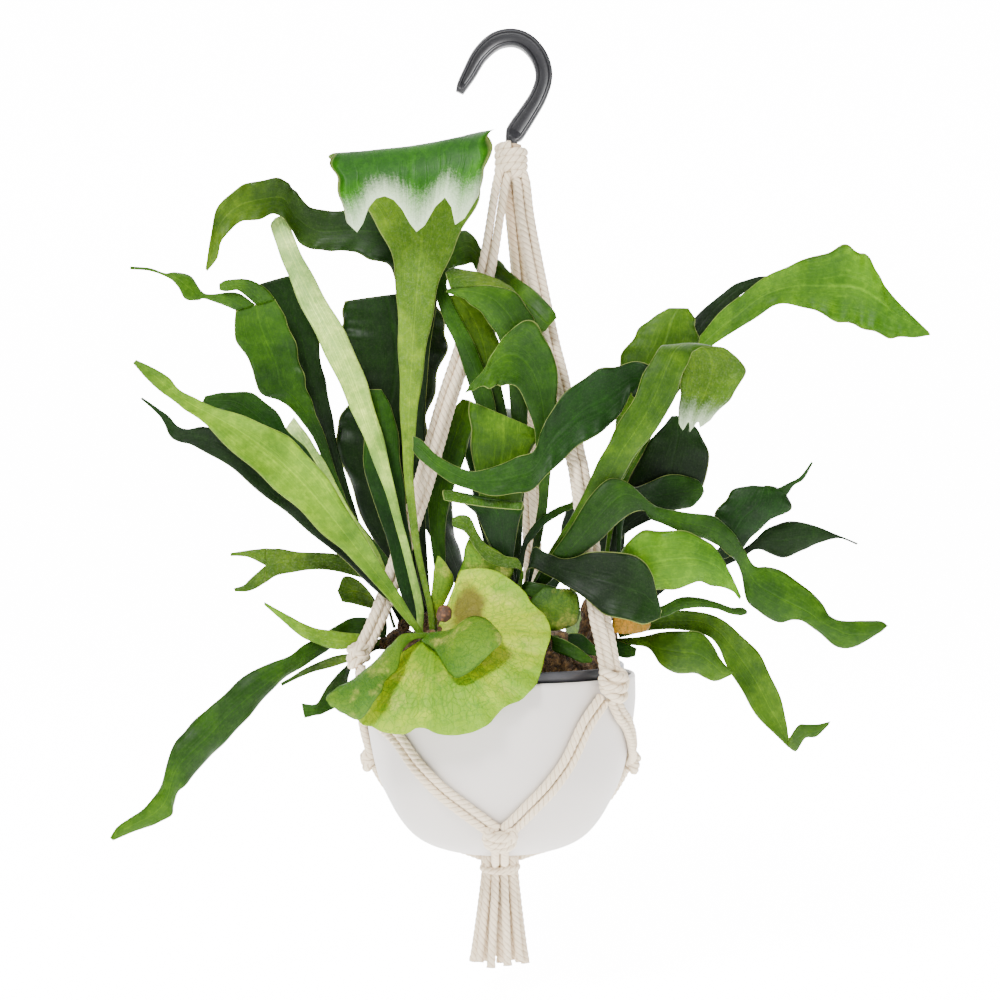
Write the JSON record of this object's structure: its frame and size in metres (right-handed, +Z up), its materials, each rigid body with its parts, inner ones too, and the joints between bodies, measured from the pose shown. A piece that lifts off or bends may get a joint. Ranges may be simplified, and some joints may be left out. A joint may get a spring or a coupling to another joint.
{
  "type": "hanging staghorn fern",
  "caption": "Staghorn fern with antler-like fronds and lime shield fronds in a round white pot, carried in a knotted cotton cord hanger with a tassel and a hook to hang it from.",
  "frame": {"origin": "top of the inside of the hook's bend, where the hook bears on what carries it", "axes": "+Z up along the hanging line; the plant's front, with the open shield frond, faces -Y; +X is to the right seen from the front"},
  "size_m": [0.5063, 0.2829, 0.5864],
  "materials": {
    "leaf_green": null,
    "leaf_pale": null,
    "shield_lime": null,
    "rhizome_brown": null,
    "cotton_cord": "twisted natural cotton cord, matt cream",
    "pot_ceramic": "matt white glaze",
    "nursery_plastic": "thin charcoal plastic",
    "potting_mix": "dark bark potting mix; stone stands in for a loose mix",
    "hook_plastic": "charcoal moulded plastic, satin"
  },
  "bodies": {
    "root": {"antler_frond": "leaf_green", "arrow_frond": "leaf_green", "back_high_frond": "leaf_green", "back_left_frond": "leaf_green", "back_leg": "cotton_cord", "back_low_fronds": "leaf_green", "back_right_frond": "leaf_green", "belly_frond": "leaf_green", "big_dark_frond": "leaf_green", "bright_frond": "leaf_green", "broad_back_frond": "leaf_green", "crest_frond": "leaf_green", "curled_rim_frond": "leaf_pale", "dark_band_frond": "leaf_green", "dark_front_frond": "leaf_green", "dark_left_frond": "leaf_green", "dome_frond": "leaf_green", "drooping_frond": "leaf_pale", "fan_right_frond": "leaf_green", "folded_frond": "leaf_green", "fork_left_frond": "leaf_green", "frill_shield": "shield_lime", "front_net": "cotton_cord", "front_plantlet": "leaf_green", "front_shield": "shield_lime", "grey_frond": "leaf_pale", "hook": "hook_plastic", "hook_frond": "leaf_green", "left_leg": "cotton_cord", "left_net": "cotton_cord", "left_plantlet": "leaf_green", "lime_back_shield": "shield_lime", "lime_point_shield": "shield_lime", "long_arch_frond": "leaf_green", "long_low_frond": "leaf_green", "low_left_frond": "leaf_green", "low_left_plantlet": "leaf_green", "middle_frond": "leaf_green", "nursery_pot": "nursery_plastic", "olive_frond": "leaf_pale", "olive_shield": "shield_lime", "pale_frond": "leaf_pale", "pot": "pot_ceramic", "rhizome": "rhizome_brown", "right_droop_frond": "leaf_green", "right_leg": "cotton_cord", "right_net": "cotton_cord", "right_plantlet": "leaf_green", "rim_plantlet": "leaf_green", "sash_frond": "leaf_green", "shadow_frond": "leaf_green", "soil": "potting_mix", "spear_frond": "leaf_pale", "strap_frond": "leaf_green", "tassel": "cotton_cord", "teal_frond": "leaf_green", "wing_back_frond": "leaf_green", "wing_frond": "leaf_green", "wrap": "cotton_cord"}
  },
  "joints": []
}
